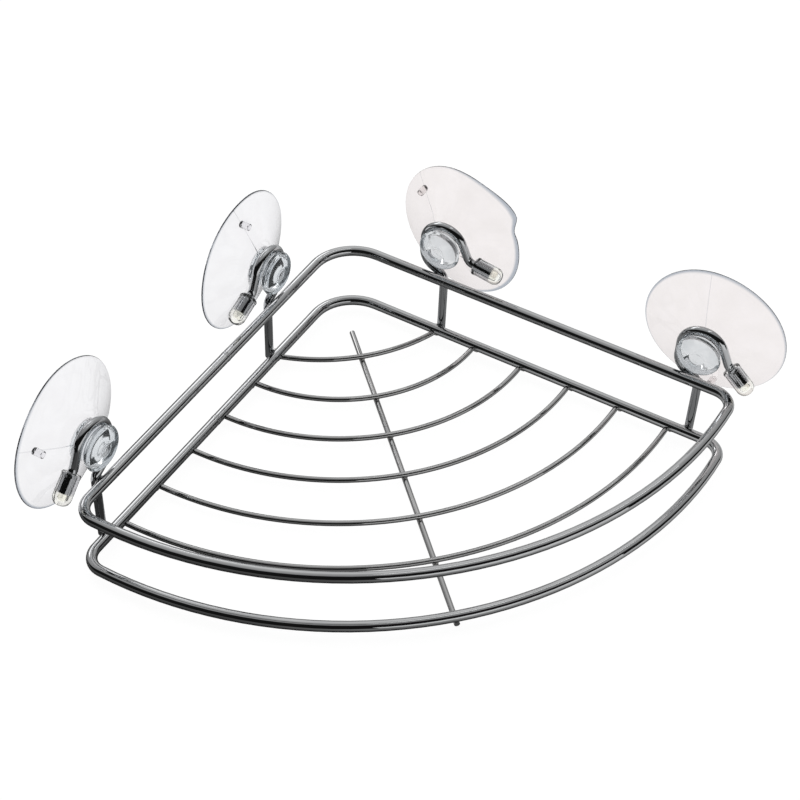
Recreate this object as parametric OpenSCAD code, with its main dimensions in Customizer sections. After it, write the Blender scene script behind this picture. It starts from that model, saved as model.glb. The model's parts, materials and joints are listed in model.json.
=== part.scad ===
// Corner shelf of bent wire that hangs from four suction cups.
// The two straight sides lie along the two walls, the bow faces the room.
// Plan view: the sides' centrelines meet at a virtual apex, the corner towards +Y.

/* [Rings] */
// Distance from the apex to where a side line meets the bow
side_l = 202; // [170:1:230]
// Radius of the front bow
bow_r = 192; // [175:1:230]
// Radius of the back corner bend
corner_r = 21; // [12:0.5:30]
// Radius of the bends where the sides turn into the bow
end_r = 9; // [5:0.5:14]
// Height of the upper ring above the lower one, centre to centre
ring_gap = 31; // [24:0.5:34]
// Wire diameter of both rings
ring_d = 4.8; // [4:0.1:5.4]

/* [Floor] */
// Wire diameter of the floor wires and of the rib under them
floor_d = 2.5; // [2:0.1:3]
// Spacing of the floor wires along a side
floor_step = 25; // [22:0.5:27]
// Distance from the apex to the middle of the first floor wire
first_mid = 47.6; // [45:0.1:50]
// Radius of the first floor wire, which is flatter than the others
first_r = 86; // [75:1:100]
// Distance from the apex to the free end of the rib
rib_back = 28; // [22:1:38]
// Length of rib in front of the bow's centreline
rib_front = 1.5; // [0.5:0.5:4]

/* [Hooks] */
// Wire diameter of the hooks
hook_d = 4; // [3.6:0.1:4.4]
// Distance from the apex to the two back hooks, along the sides
back_hook_at = 55; // [52:1:75]
// Distance from the apex to the two front hooks, along the sides
front_hook_at = 183.5; // [150:0.5:186]
// Radius of the loop that holds a suction cup's neck
loop_r = 10.1; // [9.8:0.1:10.6]
// Loop heights above the lower ring: left front, left back, right back, right front
loop_h = [51, 49.5, 49, 47]; // [46:0.5:56]
// Downward slopes of the tails, in degrees, in the same order
tail_slope = [44, 21, 9, 42]; // [5:1:50]
// How far the loop's middle lies off the upright, towards the corner
loop_shift = 1; // [0:0.5:2]

/* [Tip caps] */
// Outer diameter of a tip cap
cap_d = 8.2; // [7:0.1:9]
// Length of a tip cap
cap_l = 14; // [12.5:0.5:16]
// Length of hook wire inside a tip cap
cap_grip = 8.5; // [7:0.5:10]

/* [Suction cups] */
// Diameter of a suction cup's disc
cup_d = 66; // [58:1:68]
// Distance from the hook's plane to the sealing lip
cup_reach = 14; // [13:0.5:16]
// Diameter of the knob
knob_d = 20.2; // [19.4:0.1:21]
// How far the knob's face stands in from the hook's plane
knob_reach = 7.8; // [7.4:0.1:9]
// Clearance all round the neck inside the hook's loop
neck_play = 0.4; // [0.3:0.05:0.8]
// Thickness of the disc at its rim
rim_t = 1.2; // [1:0.1:1.6]
// Directions of the moulding nubs, in degrees up from the line along the side, as above
nub_turn = [27, 80, 140, -80]; // [-180:5:180]

/* [Hidden] */

$fn = 48;
ring_r = ring_d / 2;
floor_r = floor_d / 2;
hook_r = hook_d / 2;
cup_r = cup_d / 2;
knob_r = knob_d / 2;
neck_r = loop_r - hook_r - neck_play;
cap_r = cap_d / 2;
half_diag = sqrt(0.5);

// Crossing wires sink this far into each other where they are welded
weld = 0.2;
// Heights from the lowest point, which is the underside of the rib
rib_z = floor_r;
floor_z = rib_z + floor_d - weld;
lower_z = rib_z + floor_r + ring_r - weld;
upper_z = lower_z + ring_gap;

// Where the bow's centre and the end bends lie
bow_cy = sqrt(pow(bow_r, 2) - pow(side_l * half_diag, 2)) - side_l * half_diag;
end_const = pow(end_r, 2) + sqrt(2) * end_r * bow_cy + pow(bow_cy, 2) - pow(bow_r - end_r, 2);
side_end = (sqrt(2 * pow(bow_cy, 2) - 4 * end_const) - sqrt(2) * bow_cy) / 2;
end_cx = (side_end - end_r) * half_diag;
end_cy = -(side_end + end_r) * half_diag;
end_turn = atan2(end_cy - bow_cy, end_cx);

// Runs between two bends are this much thinner and reach this far into the bends
run_step = 0.02;
run_lap = 0.3;

// Outward offset of the hooks' plane from the rings' centreline
hook_out = ring_r + hook_r - weld;
wall_out = hook_out + cup_reach;

// The origin is under the middle of the whole part's box
front_y = bow_cy - bow_r - ring_r;
back_y = (wall_out + cup_r + loop_shift - back_hook_at) * half_diag;
apex_y = -(front_y + back_y) / 2;

// Lower part of a hook: a bend away from the upright and one back up to the loop
lean = 62;
foot_bend_r = 4;
side_bend_r = 9;
loop_side = loop_shift + loop_r;
lean_run = (loop_side - (foot_bend_r + side_bend_r) * (1 - cos(lean))) / sin(lean);
lean_rise = lean_run * cos(lean) + (foot_bend_r + side_bend_r) * sin(lean);
side_rise = 7;
// Upper part: round the neck, down a short run, then out along the tail
loop_sweep = 155;
drop_run = 7.5;
tail_bend_r = 4;
tail_gap = 1;

// The floor wires end inside the ring's wire, this far from its centreline
floor_inset = ring_d / 4;

// A straight wire between two points in the XY plane
module rod(from, to, r) {
    way = to - from;
    translate(concat(from, 0))
        rotate([0, 90, atan2(way[1], way[0])])
            cylinder(h = norm(way), r = r);
}

// A straight run that laps into the bends at its ends
module run(from, to, r) {
    lap = run_lap * (to - from) / norm(to - from);
    rod(from - lap, to + lap, r - run_step);
}

// A bend in the XY plane: wire of radius r on an arc round the centre
module bend(centre, bend_r, start, sweep, r) {
    translate(concat(centre, 0))
        rotate(start)
            rotate_extrude(angle = sweep, $fn = 180)
                translate([bend_r, 0])
                    circle(r);
}

// A direction in the XY plane
function heading(a) = [cos(a), sin(a)];

// Points of an arc in a profile
function arc(centre, r, from, to, steps) =
    [for (i = [0:steps]) centre + r * heading(from + (to - from) * i / steps)];

// The children drawn at the given height, with the apex as their origin
module at_level(z) {
    translate([0, apex_y, z]) children();
}

// The children on the right wall (side 1) or the left wall (side -1): their X runs
// along the side away from the corner, their Y runs up and their Z points into the shelf
module on_wall(side, along, up, out) {
    mirror([side < 0 ? 1 : 0, 0, 0])
        translate([(along + out) * half_diag, apex_y + (out - along) * half_diag, lower_z + up])
            rotate([90, 0, -45])
                children();
}

module ring_side() {
    run(corner_r * heading(-45), side_end * heading(-45), ring_r);
    bend([end_cx, end_cy], end_r, end_turn, 45 - end_turn, ring_r);
}

module ring() {
    bow_end = end_turn + run_lap / bow_r * 180 / PI;
    bend([0, -corner_r * sqrt(2)], corner_r, 45, 90, ring_r);
    ring_side();
    mirror([1, 0, 0]) ring_side();
    bend([0, bow_cy], bow_r, -180 - bow_end, 180 + 2 * bow_end, ring_r - run_step);
}

module upper_ring() {
    color("silver") at_level(upper_z) ring();
}

module lower_ring() {
    color("silver") at_level(lower_z) ring();
}

module centre_rib() {
    color("gainsboro")
        at_level(rib_z)
            rod([0, bow_cy - bow_r - rib_front], [0, -rib_back], floor_r);
}

// One floor wire: an arc about a point on the middle line, from side to side
module floor_wire(radius, centre_y) {
    reach = asin((centre_y + floor_inset * sqrt(2)) / (radius * sqrt(2)));
    color("gainsboro")
        at_level(floor_z)
            bend([0, centre_y], radius, reach - 135, 90 - 2 * reach, floor_r);
}

module first_floor_wire() {
    floor_wire(first_r, first_r - first_mid);
}

// Floor wires 2 to 6 are centred on the apex
module even_floor_wire(number) {
    floor_wire(floor_step * (number + 1), 0);
}

// Hooks, caps and cups are numbered 0 to 3: left front, left back, right back, right front
function side_of(i) = i < 2 ? -1 : 1;
function along_of(i) = i == 0 || i == 3 ? front_hook_at : back_hook_at;

// Where the tail of a hook starts, measured from the loop's centre
function drop_end() = loop_r * heading(180 - loop_sweep) + drop_run * heading(90 - loop_sweep);
function tail_centre() = drop_end() + tail_bend_r * heading(180 - loop_sweep);
function tail_start(i) = tail_centre() - tail_bend_r * heading(90 - tail_slope[i]);

module hook(i) {
    rise = loop_h[i];
    loop_c = [-loop_shift, rise];
    side_c = [side_bend_r - loop_side, rise - side_rise];
    foot_c = [-foot_bend_r, side_c[1] - lean_rise];
    tail_c = loop_c + tail_centre();
    tail = loop_c + tail_start(i);
    drop_turn = 180 - loop_sweep;
    color("lightgray")
        on_wall(side_of(i), along_of(i), 0, hook_out) {
            run([0, run_lap - ring_r], [0, foot_c[1]], hook_r);
            bend(foot_c, foot_bend_r, 0, lean, hook_r);
            run(foot_c + foot_bend_r * heading(lean), side_c - side_bend_r * heading(lean), hook_r);
            bend(side_c, side_bend_r, 180, lean, hook_r);
            run([-loop_side, side_c[1]], [-loop_side, rise], hook_r);
            bend(loop_c, loop_r, drop_turn, loop_sweep, hook_r);
            run(loop_c + loop_r * heading(drop_turn), loop_c + drop_end(), hook_r);
            bend(tail_c, tail_bend_r, 180 + drop_turn, 90 - drop_turn - tail_slope[i], hook_r);
            run(tail, tail + (tail_gap + cap_grip) * heading(-tail_slope[i]), hook_r);
        }
}

// A soft tube with a round closed end, pushed onto the tail of a hook
module tip_cap(i) {
    tail = [-loop_shift, loop_h[i]] + tail_start(i);
    bore_r = hook_r - 0.05;
    bore_l = cap_l - 2.2;
    dome_r = 3.4;
    color([0.9, 0.9, 0.82, 0.6])
        on_wall(side_of(i), along_of(i), 0, hook_out)
            translate(concat(tail + tail_gap * heading(-tail_slope[i]), 0))
                rotate([0, 90, -tail_slope[i]])
                    rotate_extrude()
                        polygon(concat(
                            [[bore_r, 0], [cap_r - 0.3, 0], [cap_r, 0.3]],
                            arc([cap_r - dome_r, cap_l - dome_r], dome_r, 0, 90, 8),
                            [[0, cap_l], [0, bore_l], [bore_r - 0.6, bore_l], [bore_r, bore_l - 0.6]]));
}

// One clear moulding: knob, neck and dished disc, turned about the knob's axis
module suction_cup(i) {
    seat = hook_r + 0.3;
    knob_round = 2.6;
    dimple_r = 4.4;
    dimple = 0.7;
    disc_front = [[9.6, -3.9], [cup_r - 13, -8], [cup_r - 5, -11.2]];
    disc_t = 1.7;
    lip_w = 2;
    nub_at = 25.5;
    nub_r = 1.6;
    nub_l = 4.8;
    color([0.86, 0.91, 0.93, 0.5])
        on_wall(side_of(i), along_of(i) - loop_shift, loop_h[i], hook_out)
            rotate(nub_turn[i]) {
                rotate_extrude($fn = 96)
                    polygon(concat(
                        [[0, knob_reach - dimple], [dimple_r - dimple, knob_reach - dimple]],
                        [[dimple_r, knob_reach]],
                        arc([knob_r - knob_round, knob_reach - knob_round - 0.5], knob_round, 75, -60, 9),
                        [[neck_r + 0.6, seat], [neck_r, seat - 0.6], [neck_r, 0.4 - seat]],
                        disc_front,
                        [[cup_r, rim_t - cup_reach], [cup_r, -cup_reach], [cup_r - lip_w, -cup_reach]],
                        [for (k = [2:-1:0]) disc_front[k] - [0, disc_t]],
                        [[0, disc_front[0][1] - disc_t]]));
                translate([nub_at, 0, -10.9])
                    cylinder(h = nub_l, r = nub_r);
            }
}

upper_ring();
lower_ring();
centre_rib();
first_floor_wire();  // floor_wire_1
even_floor_wire(2);  // floor_wire_2
even_floor_wire(3);  // floor_wire_3
even_floor_wire(4);  // floor_wire_4
even_floor_wire(5);  // floor_wire_5
even_floor_wire(6);  // floor_wire_6
hook(0);  // hook_left_front
hook(1);  // hook_left_back
hook(2);  // hook_right_back
hook(3);  // hook_right_front
tip_cap(0);  // tip_cap_left_front
tip_cap(1);  // tip_cap_left_back
tip_cap(2);  // tip_cap_right_back
tip_cap(3);  // tip_cap_right_front
suction_cup(0);  // suction_cup_left_front
suction_cup(1);  // suction_cup_left_back
suction_cup(2);  // suction_cup_right_back
suction_cup(3);  // suction_cup_right_front
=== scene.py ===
import json
import math
import random

import bmesh
import bpy
from mathutils import Matrix, Vector, noise


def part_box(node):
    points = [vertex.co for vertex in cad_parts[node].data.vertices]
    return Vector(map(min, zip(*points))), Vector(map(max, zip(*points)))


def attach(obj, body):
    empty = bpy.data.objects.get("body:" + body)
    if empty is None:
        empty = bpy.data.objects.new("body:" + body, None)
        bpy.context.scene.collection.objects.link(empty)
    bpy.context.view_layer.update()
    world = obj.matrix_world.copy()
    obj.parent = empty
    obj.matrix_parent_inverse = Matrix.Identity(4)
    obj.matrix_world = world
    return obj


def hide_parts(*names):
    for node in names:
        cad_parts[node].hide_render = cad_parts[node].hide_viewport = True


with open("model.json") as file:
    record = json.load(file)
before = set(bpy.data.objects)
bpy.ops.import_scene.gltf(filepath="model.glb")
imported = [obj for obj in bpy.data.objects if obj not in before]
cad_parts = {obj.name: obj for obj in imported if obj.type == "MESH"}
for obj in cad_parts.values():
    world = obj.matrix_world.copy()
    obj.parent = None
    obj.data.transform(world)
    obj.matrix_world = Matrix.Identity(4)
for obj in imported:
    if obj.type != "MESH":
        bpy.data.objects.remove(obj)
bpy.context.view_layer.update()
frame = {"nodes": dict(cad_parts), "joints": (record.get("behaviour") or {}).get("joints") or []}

MM = 0.001
UP = Vector((0, 0, 1))
PLACES = ("left_front", "left_back", "right_back", "right_front")
# Even steps round a small turned piece
SMALL_TURN = [math.tau * i / 48 for i in range(48)]

# ---------------------------------------------------------------- camera


def make_camera():
    """The photograph's camera, seen from in front and above, with a slight roll."""
    azimuth, elevation, roll = (math.radians(a) for a in (-16.526, 44.781, 2.376))
    distance = 0.8027
    target = Vector((0.0109, 0.0292, 0))
    back = Vector((math.sin(azimuth) * math.cos(elevation),
                   -math.cos(azimuth) * math.cos(elevation),
                   math.sin(elevation)))
    right = (-back).cross(UP).normalized()
    up = right.cross(-back)
    right_rolled = right * math.cos(roll) + up * math.sin(roll)
    up_rolled = up * math.cos(roll) - right * math.sin(roll)
    data = bpy.data.cameras.new("camera")
    data.sensor_fit = "HORIZONTAL"
    data.sensor_width = 36
    data.lens = 78.46
    data.clip_start = 0.01
    camera = bpy.data.objects.new("camera", data)
    camera.matrix_world = Matrix.Translation(target + back * distance) @ Matrix(
        (right_rolled, up_rolled, back)).transposed().to_4x4()
    bpy.context.scene.collection.objects.link(camera)
    bpy.context.scene.camera = camera


make_camera()

# ---------------------------------------------------------------- materials


class Shader:
    """A node material with one Principled shader, and short ways to add its nodes."""

    def __init__(self, name, **sockets):
        self.material = bpy.data.materials.new(name)
        self.material.use_nodes = True
        self.tree = self.material.node_tree
        self.surface = self.tree.nodes["Principled BSDF"]
        for socket, value in sockets.items():
            self.surface.inputs[socket.replace("_", " ")].default_value = value
        self.coords = self.tree.nodes.new("ShaderNodeTexCoord").outputs["Object"]

    def node(self, kind, links=(), **values):
        made = self.tree.nodes.new(kind)
        for socket, value in values.items():
            made.inputs[socket.replace("_", " ")].default_value = value
        for socket, source in dict(links).items():
            self.tree.links.new(source, made.inputs[socket])
        return made

    def noise(self, scale, detail=2.0, stretch=(1, 1, 1), shift=(0, 0, 0)):
        placed = self.node("ShaderNodeMapping", {"Vector": self.coords}, Scale=stretch, Location=shift)
        made = self.node("ShaderNodeTexNoise", {"Vector": placed.outputs[0]}, Scale=scale, Detail=detail)
        return made.outputs["Fac"]

    def spread(self, source, low, high, start=0.3, end=0.7):
        made = self.node("ShaderNodeMapRange", {"Value": source},
                         From_Min=start, From_Max=end, To_Min=low, To_Max=high)
        return made.outputs["Result"]

    def math(self, operation, a, b=0.0):
        made = self.tree.nodes.new("ShaderNodeMath")
        made.operation = operation
        for i, value in enumerate((a, b)):
            if isinstance(value, (int, float)):
                made.inputs[i].default_value = value
            else:
                self.tree.links.new(value, made.inputs[i])
        return made.outputs[0]

    def blend(self, factor, a, b):
        made = self.tree.nodes.new("ShaderNodeMix")
        made.data_type = "RGBA"
        for socket, value in ((0, factor), (6, a), (7, b)):
            if isinstance(value, (tuple, float)):
                made.inputs[socket].default_value = value
            else:
                self.tree.links.new(value, made.inputs[socket])
        return made.outputs[2]

    def bump(self, height, distance, strength, under=None):
        made = self.node("ShaderNodeBump", {"Height": height}, Distance=distance, Strength=strength)
        if under is not None:
            self.tree.links.new(under, made.inputs["Normal"])
        return made.outputs["Normal"]

    def set(self, **links):
        for socket, source in links.items():
            self.tree.links.new(source, self.surface.inputs[socket.replace("_", " ")])
        return self.material


def grey(value, warm=0.0):
    return (value * (1 + warm), value, value * (1 - warm), 1.0)


def chrome(name, light, dark, smooth, worn, shift):
    """Bright plating: a slow wave in the polish, fine specks, and duller patches."""
    s = Shader(name, Metallic=1.0)
    patches = s.noise(38, 2, shift=shift)
    haze = s.noise(160, 4, shift=shift)
    specks = s.noise(1400, 3)
    colour = s.blend(s.spread(patches, 0, 1), dark, light)
    dull = s.math("MULTIPLY", s.spread(haze, 0, 1, 0.55, 0.8), worn - smooth)
    rough = s.math("ADD", s.math("ADD", dull, smooth), s.spread(specks, 0, 0.02, 0.6, 0.85))
    wave = s.bump(s.noise(75, 1, shift=shift), 0.0005, 0.12)
    return s.set(Base_Color=colour, Roughness=rough, Normal=s.bump(specks, 0.00002, 0.04, wave))


def lets_light_through(s, tint):
    """Clear plastic throws hardly any shadow, so lamps see it as a tinted window."""
    window = s.node("ShaderNodeBsdfTransparent", Color=tint)
    mixed = s.node("ShaderNodeMixShader", {"Fac": s.node("ShaderNodeLightPath").outputs["Is Shadow Ray"]})
    s.tree.links.new(s.surface.outputs[0], mixed.inputs[1])
    s.tree.links.new(window.outputs[0], mixed.inputs[2])
    s.tree.links.new(mixed.outputs[0], s.tree.nodes["Material Output"].inputs["Surface"])


# Stretches in metres over which one look turns into another: back to front through a cup's neck,
# across a disc's rim, and past a hook's end inside its tip cap
DISC_TO_KNOB = (-0.002, 0.0035)
DISC_TO_RIM = (0.0320, 0.0329)
WIRE_TO_DOME = (0.0082, 0.0090)


def clear_pvc(name, tint, deeper):
    """Soft clear PVC in the cup's own frame: a clear disc, a cold milky knob, and a rim and mould line painted a
    darker grey as painted shade for the dark edges that clear plastic shows.
    """
    s = Shader(name)
    split = s.node("ShaderNodeSeparateXYZ", {"Vector": s.coords})
    x, y, z = (split.outputs[i] for i in range(3))
    radius = s.math("SQRT", s.math("ADD", s.math("MULTIPLY", x, x), s.math("MULTIPLY", y, y)))
    knob = s.spread(z, 0, 1, *DISC_TO_KNOB)
    rim = s.spread(radius, 0, 1, *DISC_TO_RIM)
    line = s.tree.nodes.new("ShaderNodeAttribute")
    line.attribute_name = "mould_line"
    cloud = s.noise(120, 3)
    flow = s.noise(60, 2, stretch=(1, 1, 5))
    disc = s.blend(s.spread(cloud, 0, 1), deeper, tint)
    # Painted shade: the mould line's ridge is painted dark grey to stand for the dark line a clear ridge shows
    disc = s.blend(s.math("MULTIPLY", line.outputs["Fac"], 0.75), disc, (0.40, 0.42, 0.45, 1))
    milky = s.blend(s.spread(cloud, 0, 1), (0.52, 0.575, 0.61, 1), (0.76, 0.81, 0.84, 1))
    # Painted shade: the rim is painted dark grey to stand for the dark outline of the clear lip
    colour = s.blend(rim, s.blend(knob, disc, milky), (0.44, 0.47, 0.52, 1))
    rough = s.math("ADD", s.math("MULTIPLY", knob, 0.06), s.spread(cloud, 0.01, 0.04))
    rough = s.math("ADD", rough, s.math("MULTIPLY", rim, 0.10))
    ripple = s.bump(flow, 0.0005, 0.05)
    lets_light_through(s, grey(0.93))
    s.set(IOR=s.math("ADD", s.math("MULTIPLY", knob, 0.08), 1.26))
    s.set(Transmission_Weight=s.math("SUBTRACT", 1.0, s.math("MULTIPLY", knob, 0.14)))
    return s.set(Base_Color=colour, Roughness=rough,
                 Normal=s.bump(s.noise(500, 2), 0.00003, 0.06, ripple))


def cap_plastic(name):
    """The tip caps' clear vinyl, a little yellowed, with fine drag marks, and painted a darker grey over the wire
    in it as painted shade of the wire seen through.
    """
    s = Shader(name, Transmission_Weight=1.0, IOR=1.48)
    cloud = s.noise(260, 3)
    drag = s.noise(420, 2, stretch=(1, 1, 0.12))
    lets_light_through(s, grey(0.88))
    clear = s.blend(s.spread(cloud, 0, 1), (0.93, 0.92, 0.85, 1), (0.97, 0.97, 0.94, 1))
    depth = s.node("ShaderNodeSeparateXYZ", {"Vector": s.coords}).outputs["Z"]
    # Painted shade: the cap is painted grey along the stretch where the wire's end sits inside it
    painted_wire_shade = s.spread(depth, 1, 0, *WIRE_TO_DOME)
    colour = s.blend(painted_wire_shade, clear, (0.60, 0.60, 0.61, 1))
    return s.set(Base_Color=colour, Roughness=s.spread(cloud, 0.03, 0.12),
                 Normal=s.bump(drag, 0.0001, 0.25))


def floor_paper(name):
    """Pale sweep paper. In the wires' reflections it shows a painted glow instead: painted shade that fades below
    the object and towards its left, as under a real product tent.
    """
    s = Shader(name, Roughness=0.9)
    s.surface.inputs["Specular IOR Level"].default_value = 0.1
    s.surface.inputs["Emission Color"].default_value = (1, 1, 1, 1)
    s.surface.inputs["Emission Strength"].default_value = 0.94
    s.set(Base_Color=s.blend(s.spread(s.noise(6, 2), 0, 1), grey(0.20), grey(0.22)))
    # Painted light and shade seen only in reflections: darker where the floor is seen straight on, darker towards
    # negative X
    path = s.node("ShaderNodeLightPath")
    mirrored = s.math("MULTIPLY", path.outputs["Is Glossy Ray"], path.outputs["Is Reflection Ray"])
    slant = s.node("ShaderNodeLayerWeight", Blend=0.5).outputs["Facing"]
    across = s.node("ShaderNodeSeparateXYZ", {"Vector": s.coords}).outputs["X"]
    painted_mirror_light = s.math("MULTIPLY", s.spread(slant, 0, 1, 0.0, 0.85), s.spread(across, 0.12, 1, -0.10, 0.10))
    glow = s.node("ShaderNodeEmission", {"Color": s.blend(painted_mirror_light, grey(0.02), grey(0.8))})
    mixed = s.node("ShaderNodeMixShader", {"Fac": mirrored})
    s.tree.links.new(s.surface.outputs[0], mixed.inputs[1])
    s.tree.links.new(glow.outputs[0], mixed.inputs[2])
    s.tree.links.new(mixed.outputs[0], s.tree.nodes["Material Output"].inputs["Surface"])
    return s.material


RING_CHROME = chrome("ring_chrome", grey(0.52, -0.012), grey(0.45, -0.012), 0.015, 0.07, (0, 0, 0))
FLOOR_CHROME = chrome("floor_wire_chrome", grey(0.48), grey(0.38), 0.03, 0.12, (3, 1, 2))
HOOK_CHROME = chrome("hook_chrome", grey(0.52, -0.02), grey(0.42, -0.02), 0.015, 0.06, (7, 4, 5))
WELD_CHROME = chrome("weld_chrome", grey(0.62, 0.01), grey(0.42, 0.02), 0.12, 0.32, (2, 9, 1))
LEFT_PVC = clear_pvc("cup_pvc_left", (0.90, 0.90, 0.915, 1), (0.865, 0.86, 0.875, 1))
RIGHT_PVC = clear_pvc("cup_pvc_right", (0.885, 0.85, 0.85, 1), (0.85, 0.815, 0.81, 1))
CAP_VINYL = cap_plastic("cap_vinyl")

for name, cad in frame["nodes"].items():
    if name.endswith("_ring"):
        finish = RING_CHROME
    elif name.startswith("hook_"):
        finish = HOOK_CHROME
    elif name.startswith(("floor_", "centre_")):
        finish = FLOOR_CHROME
    else:
        continue
    for slot in cad.material_slots:
        slot.material = finish

# ---------------------------------------------------------------- mesh helpers


def rounded(points, step=None):
    """A profile through (r, h, corner radius) points: corners rounded, long runs cut into steps."""
    out = [Vector(points[0][:2])]
    for before, here, after in zip(points, points[1:], points[2:]):
        p = Vector(here[:2])
        to_before = Vector(before[:2]) - p
        to_after = Vector(after[:2]) - p
        reach = min(here[2], 0.48 * to_before.length, 0.48 * to_after.length)
        if reach < 1e-4:
            out.append(p)
            continue
        a = p + to_before.normalized() * reach
        b = p + to_after.normalized() * reach
        out += [a.lerp(p, t).lerp(p.lerp(b, t), t) for t in (0, 0.2, 0.4, 0.6, 0.8, 1)]
    out.append(Vector(points[-1][:2]))
    if not step:
        return out
    fine = [out[0]]
    for p, q in zip(out, out[1:]):
        pieces = max(1, math.ceil((q - p).length / step))
        fine += [p.lerp(q, (i + 1) / pieces) for i in range(pieces)]
    return fine


def turned(name, profile, angles, material, warp=None, mask=None):
    """A smooth closed solid turned about its local Z from an (r, z) profile in millimetres."""
    mesh = bmesh.new()
    rows = []
    for r, z in profile:
        if r < 1e-6:
            rows.append([mesh.verts.new((0, 0, z))])
        else:
            rows.append([mesh.verts.new((r * math.cos(a), r * math.sin(a), z)) for a in angles])
    closed = len(rows[0]) > 1
    pairs = list(zip(rows, rows[1:])) + ([(rows[-1], rows[0])] if closed else [])
    count = len(angles)
    for upper, lower in pairs:
        for i in range(count):
            j = (i + 1) % count
            if len(upper) == 1:
                mesh.faces.new((upper[0], lower[i], lower[j]))
            elif len(lower) == 1:
                mesh.faces.new((upper[i], lower[0], upper[j]))
            else:
                mesh.faces.new((upper[i], lower[i], lower[j], upper[j]))
    if mask:
        layer = mesh.verts.layers.float.new("mould_line")
        for v in mesh.verts:
            v[layer] = mask(v.co)
    for v in mesh.verts:
        if warp:
            v.co = warp(v.co)
        v.co *= MM
    return finished(name, mesh, material)


def finished(name, mesh, material):
    """A smooth object made from a bmesh, with its material and its slot's name."""
    bmesh.ops.recalc_face_normals(mesh, faces=mesh.faces)
    for face in mesh.faces:
        face.smooth = True
    data = bpy.data.meshes.new(name)
    mesh.to_mesh(data)
    mesh.free()
    data.materials.append(material)
    made = bpy.data.objects.new(name, data)
    bpy.context.scene.collection.objects.link(made)
    return made


def smooth_step(x, low, high):
    t = min(1, max(0, (x - low) / (high - low)))
    return t * t * (3 - 2 * t)


def axes_matrix(origin, x, y, z):
    return Matrix.Translation(origin) @ Matrix((x, y, z)).transposed().to_4x4()


# ---------------------------------------------------------------- suction cups and tip caps

# The hooks' sizes in millimetres and degrees, as the CAD has them
HOOK_OUT = 4.2
HOOK_STATIONS = (55, 183.5)
LOOP_STATION = 182.5
LOOP_R = 10.1
LOOP_SWEEP = 155
DROP_RUN = 7.5
TAIL_BEND_R = 4
TAIL_GAP = 1
# For each place: nub direction, tail slope, and how the soft disc leans on its neck, all in degrees
CUP_FACTS = {
    "left_front": (27, 44, 3.3, -0.5),
    "left_back": (80, 21, 1.3, -0.1),
    "right_back": (140, 9, 8.9, 0.9),
    "right_front": (-80, 42, -0.3, 3.6),
}

CUP_PROFILE = rounded([
    # The knob, from its dimple to the neck
    (0, 7.35, 0), (2.3, 7.35, 0.4), (3.3, 6.85, 0.5), (4.5, 7.8, 0.7), (7.4, 7.35, 1.5),
    (9.5, 6.1, 1.2), (10.1, 4.95, 0.6), (10.2, 4.7, 0.05), (10.1, 4.45, 0.8),
    (9.3, 2.5, 1.0), (7.7, 2.3, 0.6), (7.7, -2.1, 1.0),
    # The disc's front
    (9.6, -3.9, 1.2), (20, -8.0, 5), (28, -11.2, 4), (32.6, -13.15, 0.4), (33, -13.35, 0.2),
    # Its lip and hollow back
    (33, -13.85, 0.2), (32.5, -14, 0.3), (31.6, -14, 0.5), (27.6, -12.7, 3), (20.0, -9.7, 5),
    (9.6, -5.8, 3), (0, -5.6, 0),
], step=1.4)

# The nub's own origin is 20 mm in front of it, so that its depth reads as the disc's and not as the knob's
NUB_DROP = 20
NUB_AT = 25.5
NUB_PROFILE = [p - Vector((0, NUB_DROP)) for p in rounded([
    (0, 3.1, 0), (0.85, 3.2, 0.2), (1.15, 4.2, 0.25), (1.6, 4.1, 0.4), (1.65, -0.6, 0.3), (0, -0.8, 0)])]


MOULD_LINE_WIDTH = 0.17
MOULD_LINE_HEIGHT = 0.28
BESIDE_MOULD_LINE = (-1.5, -1, -0.7, -0.45, -0.25, 0.25, 0.45, 0.7, 1, 1.5)

# The right back cup's kinked rim: its place and its spread to either side in degrees round the disc,
# how far it bends back in millimetres, and the notch just below it
KINK_AT = 36
KINK_SPREAD_ABOVE = 26
KINK_SPREAD_BELOW = 6.5
KINK_BEND = 4.4
NOTCH_PAST = 9
NOTCH_SPREAD = 5


def cup_angles(nub):
    """Even steps round the cup, with close ones beside the mould line, which runs through the nub."""
    even = [math.radians(2.5 * i) for i in range(144)]
    close = [math.radians(nub + half + step) for half in (0, 180) for step in BESIDE_MOULD_LINE]
    return sorted(a % math.tau for a in even + close)


def mould_line(co, nub):
    """How much of the mould line's thin ridge is at a point: 1 on it, 0 away from it."""
    along_line = math.radians(nub)
    beside = co.y * math.cos(along_line) - co.x * math.sin(along_line)
    radius = math.hypot(co.x, co.y)
    # Halfway through the disc's thickness: only its front has the ridge
    front = -8.9 - 0.38 * (radius - 20)
    if radius < 9 or co.z > -2.5 or co.z < front:
        return 0.0
    return math.exp(-(beside / MOULD_LINE_WIDTH) ** 2)


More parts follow.
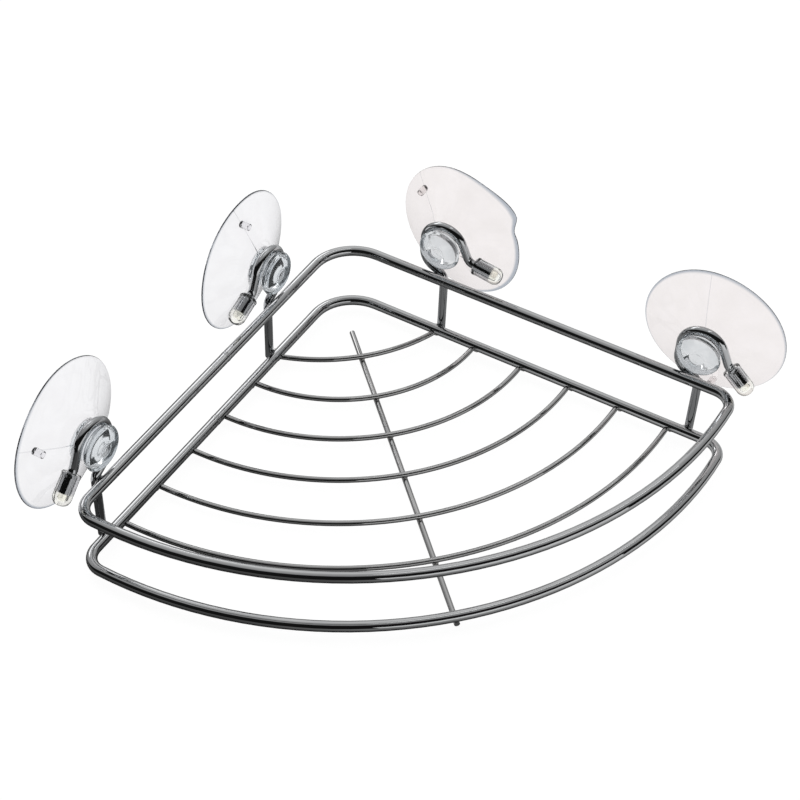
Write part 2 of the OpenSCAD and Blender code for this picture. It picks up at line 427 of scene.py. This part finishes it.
def cup_warp(place, seed):
    """The soft moulding isn't perfect: its disc waves, leans on its neck, and one has a kinked rim."""
    nub, _, lean_a, lean_b = CUP_FACTS[place]
    leaning = Vector((-math.tan(math.radians(lean_a)), -math.tan(math.radians(lean_b)), 1))
    lean = Vector((0, 0, 1)).rotation_difference(leaning).to_matrix()
    rng = random.Random(seed)
    waves = [(k, rng.uniform(0, math.tau), rng.uniform(0.05, 0.16)) for k in (2, 3, 5)]
    pivot = Vector((0, 0, -3))

    def warp(co):
        r = math.hypot(co.x, co.y)
        angle = math.atan2(co.y, co.x)
        out = co.copy()
        out.z += MOULD_LINE_HEIGHT * mould_line(co, nub)
        rim = smooth_step(r, 16, 33) if co.z < -4 else 0
        out.z += rim * sum(size * math.sin(k * angle + phase) for k, phase, size in waves)
        if place == "right_back":
            past = math.degrees(angle) - KINK_AT
            spread = KINK_SPREAD_ABOVE if past > 0 else KINK_SPREAD_BELOW
            bent = rim * math.exp(-(past / spread) ** 2)
            out.z -= KINK_BEND * bent
            fold = smooth_step(r, 19, 33) * math.exp(-((past + NOTCH_PAST) / NOTCH_SPREAD) ** 2) if co.z < -4 else 0
            out.z += 0.5 * fold
            out.x *= 1 - 0.014 * fold
            out.y *= 1 - 0.010 * fold
        share = smooth_step(-co.z, 2.4, 6.5)
        if share > 0:
            leaned = pivot + lean @ (out - pivot)
            out = out.lerp(leaned, share)
        return out

    return warp


CAP_PROFILE = rounded([
    (1.95, 0.0, 0.15), (2.4, -0.12, 0.2), (3.8, -0.05, 0.3), (4.2, 0.5, 0.3), (4.2, 1.1, 0.4),
    (4.02, 1.7, 0.6), (4.05, 9.5, 1.5), (4.08, 11.0, 1.8), (3.3, 13.0, 1.4), (1.8, 13.95, 1.2), (0, 14.0, 0),
])
CAP_BORE = rounded([(1.95, 0.0, 0), (1.95, 11.0, 0.5), (1.4, 11.8, 0.5), (0, 12.0, 0)])
CAP_SECTION = list(reversed(CAP_BORE)) + CAP_PROFILE[1:]


def heading(degrees):
    """The unit vector that many degrees up from along, in a wall's own plane."""
    return Vector((math.cos(math.radians(degrees)), math.sin(math.radians(degrees))))


def tail_start(slope):
    """Where a hook's tail starts, from its loop's centre, in the wall's own plane."""
    drop_end = LOOP_R * heading(180 - LOOP_SWEEP) + DROP_RUN * heading(90 - LOOP_SWEEP)
    tail_centre = drop_end + TAIL_BEND_R * heading(180 - LOOP_SWEEP)
    return tail_centre - TAIL_BEND_R * heading(90 - slope)


joints = {j["child"]: j for j in frame["joints"]}


def wall_axes(joint):
    """A cup's place, the way along its wall from the corner, and the way in from the wall."""
    inward = -Vector(joint["axis"]).normalized()
    along = UP.cross(inward)
    # The cross product points towards the corner on one of the two walls
    if along.y > 0:
        along = -along
    return Vector(joint["pos_m"]), along, inward


def make_cup(place, seed):
    """A suction cup's moulding and its nub, about the hinge in the hook's loop."""
    centre, along, inward = wall_axes(joints["cup_" + place])
    nub_angle = CUP_FACTS[place][0]
    pvc = RIGHT_PVC if place.startswith("right") else LEFT_PVC
    warp = cup_warp(place, seed)
    cup = turned("cup_" + place + "_moulding", CUP_PROFILE, cup_angles(nub_angle), pvc,
                 warp, lambda co: mould_line(co, nub_angle))
    cup.matrix_world = axes_matrix(centre, along, UP, inward)
    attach(cup, "cup_" + place)
    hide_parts("suction_cup_" + place)

    nub_turn = math.radians(nub_angle)
    foot = Vector((NUB_AT * math.cos(nub_turn), NUB_AT * math.sin(nub_turn), -10.3))
    nub = turned("cup_" + place + "_nub", NUB_PROFILE, SMALL_TURN[::2], pvc)
    nub_origin = (warp(foot) + Vector((0, 0, NUB_DROP))) * MM
    nub.matrix_world = cup.matrix_world @ Matrix.Translation(nub_origin)
    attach(nub, "cup_" + place)


def make_tip_cap(place):
    """The clear cap on a hook's tail, its bore round the wire's end."""
    centre, along, inward = wall_axes(joints["cup_" + place])
    slope = CUP_FACTS[place][1]
    way = heading(-slope)
    start = tail_start(slope) + TAIL_GAP * way
    origin = centre + (along * start.x + UP * start.y) * MM
    cap_axis = along * way.x + UP * way.y
    cap = turned("tip_cap_" + place + "_sleeve", CAP_SECTION, SMALL_TURN, CAP_VINYL)
    cap.matrix_world = axes_matrix(origin, inward, cap_axis.cross(inward), cap_axis)
    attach(cap, "frame")
    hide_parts("tip_cap_" + place)


for seed, place in enumerate(PLACES, start=11):
    make_cup(place, seed)
    make_tip_cap(place)

# ---------------------------------------------------------------- welds


def middle_z(node):
    """The height of the middle of a CAD node's box."""
    low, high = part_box(node)
    return (low.z + high.z) / 2


LOWER_Z = middle_z("lower_ring")
UPPER_Z = middle_z("upper_ring")
# The welds between the rib and the floor wires sit halfway between the two
RIB_WELD_Z = (middle_z("centre_rib") + middle_z("floor_wire_3")) / 2
HALF = math.sqrt(0.5)
# The rings' two sides would meet at the apex, which is found from a loop's centre on the right wall
front_loop = Vector(joints["cup_right_front"]["pos_m"])
APEX_Y = front_loop.y + (LOOP_STATION - HOOK_OUT) * HALF * MM


def on_side(side, along, out, z):
    """A point beside a ring's side, with along and out in millimetres from the apex."""
    return Vector((side * (along + out) * HALF * MM, APEX_Y + (out - along) * HALF * MM, z))


def bead(mesh, centre, x, y, z, size, seed):
    """One lumpy bead of weld metal, x, y and z being its own axes and size its half sizes in millimetres."""
    made = bmesh.ops.create_icosphere(mesh, subdivisions=3, radius=1)
    for v in made["verts"]:
        p = v.co.copy()
        lump = 1 + 0.22 * noise.noise(p * 1.7 + Vector((seed * 3.1, seed * 1.7, 0)))
        p = Vector([math.copysign(abs(c) ** 0.85, c) for c in p]) * lump
        v.co = centre + (x * p.x * size[0] + y * p.y * size[1] + z * p.z * size[2]) * MM


# Half sizes of the beads in millimetres: along the ring, up and out at a hook, along, out and up at a
# floor wire's end, and where a floor wire crosses the rib
HOOK_BEAD = (1.2, 1.5, 0.75)
END_BEAD = (1.6, 1.9, 0.8)
RIB_BEAD = (1.35, 1.35, 0.6)

beads = bmesh.new()
seed = 0
for side in (-1, 1):
    side_dir = Vector((side * HALF, -HALF, 0))
    out_dir = Vector((side * HALF, HALF, 0))
    for along in HOOK_STATIONS:
        for z in (LOWER_Z, UPPER_Z):
            for way in (-1, 1):
                seed += 1
                spot = on_side(side, along + way * 1.5, 2.1, z)
                bead(beads, spot, side_dir, UP, out_dir, HOOK_BEAD, seed)
    for radius in (50, 75, 100, 125, 150, 175):
        seed += 1
        # The floor wires meet the side a little further out than their radius, the first one most of all
        along = radius + (1.5 if radius > 50 else 5)
        spot = on_side(side, along, 0.3, LOWER_Z - 2.1 * MM)
        bead(beads, spot, side_dir, out_dir, UP, END_BEAD, seed)
for middle in (47.6, 75, 100, 125, 150, 175):
    seed += 1
    spot = Vector((0, APEX_Y - middle * MM, RIB_WELD_Z))
    bead(beads, spot, Vector((1, 0, 0)), Vector((0, 1, 0)), UP, RIB_BEAD, seed)
welds = finished("weld_beads", beads, WELD_CHROME)
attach(welds, "frame")

# The butt joints that close the two rings, on their left sides, 105 and 95 mm from the apex
SEAM_PROFILE = rounded([
    (2.3, -1.1, 0), (2.41, -0.8, 0.2), (2.5, -0.35, 0.2), (2.42, -0.1, 0.1),
    (2.42, 0.1, 0.1), (2.49, 0.4, 0.2), (2.41, 0.9, 0.2), (2.3, 1.1, 0),
])
left_along = Vector((-HALF, -HALF, 0))
left_out = Vector((-HALF, HALF, 0))
for name, along, z in (("lower", 105, LOWER_Z), ("upper", 95, UPPER_Z)):
    seam = turned(name + "_ring_butt_weld", SEAM_PROFILE, SMALL_TURN, RING_CHROME)
    seam.matrix_world = axes_matrix(on_side(-1, along, 0, z), UP, left_out, left_along)
    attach(seam, "frame")

# ---------------------------------------------------------------- stage and light


def make_floor():
    """A plain round sheet of paper, 6 m across."""
    mesh = bmesh.new()
    mesh.faces.new([mesh.verts.new((3 * math.cos(a), 3 * math.sin(a), 0)) for a in SMALL_TURN])
    data = bpy.data.meshes.new("floor")
    mesh.to_mesh(data)
    mesh.free()
    data.materials.append(floor_paper("floor_paper"))
    made = bpy.data.objects.new("floor", data)
    bpy.context.scene.collection.objects.link(made)


def soft_box(name, place, aim, width, height, power):
    """An area lamp in metres and watts, turned to face a point."""
    data = bpy.data.lights.new(name, "AREA")
    data.shape = "RECTANGLE"
    data.size = width
    data.size_y = height
    data.energy = power
    made = bpy.data.objects.new(name, data)
    made.location = place
    made.rotation_euler = (Vector(aim) - Vector(place)).to_track_quat("-Z", "Y").to_euler()
    bpy.context.scene.collection.objects.link(made)


# How bright the studio tent is, from sideways to its brightest direction
TENT_STEPS = ((0.0, 0.012), (0.28, 0.015), (0.40, 0.42), (0.66, 0.50), (0.88, 0.62), (1.0, 0.95))


def make_world():
    """A studio tent: bright above and behind, dark on the camera's side, and plain pale where it is seen itself."""
    world = bpy.data.worlds.new("studio")
    world.use_nodes = True
    tree = world.node_tree
    coords = tree.nodes.new("ShaderNodeTexCoord")
    aim = tree.nodes.new("ShaderNodeVectorMath")
    aim.operation = "DOT_PRODUCT"
    aim.inputs[1].default_value = Vector((0.15, 0.75, 0.65)).normalized()
    ramp = tree.nodes.new("ShaderNodeValToRGB")
    tree.links.new(coords.outputs["Generated"], aim.inputs[0])
    tree.links.new(aim.outputs["Value"], ramp.inputs[0])
    seen = tree.nodes.new("ShaderNodeMix")
    seen.data_type = "RGBA"
    seen.inputs[7].default_value = grey(0.95)
    tree.links.new(tree.nodes.new("ShaderNodeLightPath").outputs["Is Camera Ray"], seen.inputs[0])
    tree.links.new(ramp.outputs[0], seen.inputs[6])
    tree.links.new(seen.outputs[2], tree.nodes["Background"].inputs["Color"])
    elements = ramp.color_ramp.elements
    while len(elements) < len(TENT_STEPS):
        elements.new(0.5)
    for element, (position, value) in zip(elements, TENT_STEPS):
        element.position = position
        element.color = grey(value)
    bpy.context.scene.world = world


make_floor()
make_world()
soft_box("back_box", (-0.35, 1.3, 0.9), (0, 0, 0), 1.2, 0.36, 2.6)
soft_box("top_box", (0.50, 0.30, 1.5), (0, 0, 0), 0.09, 1.0, 0.6)
soft_box("low_box", (0.60, -1.37, 0.29), (0, 0, 0.02), 1.75, 0.54, 3.0)
bpy.context.scene.view_settings.view_transform = "Standard"
